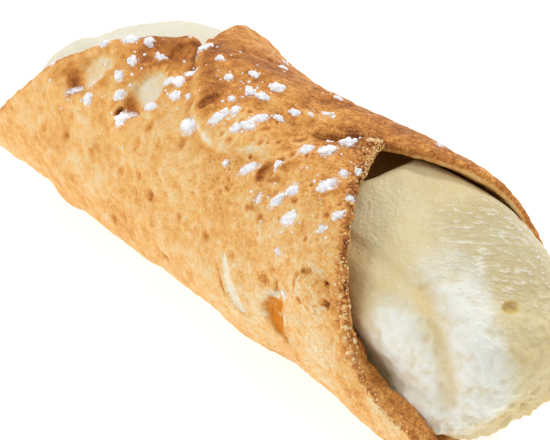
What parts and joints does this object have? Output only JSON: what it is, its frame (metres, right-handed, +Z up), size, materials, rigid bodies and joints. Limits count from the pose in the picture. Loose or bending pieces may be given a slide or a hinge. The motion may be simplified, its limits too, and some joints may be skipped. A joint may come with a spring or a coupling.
{
  "type": "cannoli",
  "caption": "Filled pastry tube: a thin blistered fried sheet wrapped round a cream core that bulges from both slanted mouths.",
  "frame": {"origin": "on the resting plane, below the middle of the whole", "axes": "+X along the tube towards the fuller mouth, +Z up with the flap on top; the flap's corner closes towards +Y"},
  "size_m": [0.1196, 0.0416, 0.0411],
  "materials": {
    "fried_dough": "golden-brown fried dough, matte, blistered",
    "cream": "fine-grained ricotta cream, moist"
  },
  "bodies": {
    "root": {"shell": "fried_dough", "filling": "cream"}
  },
  "joints": []
}
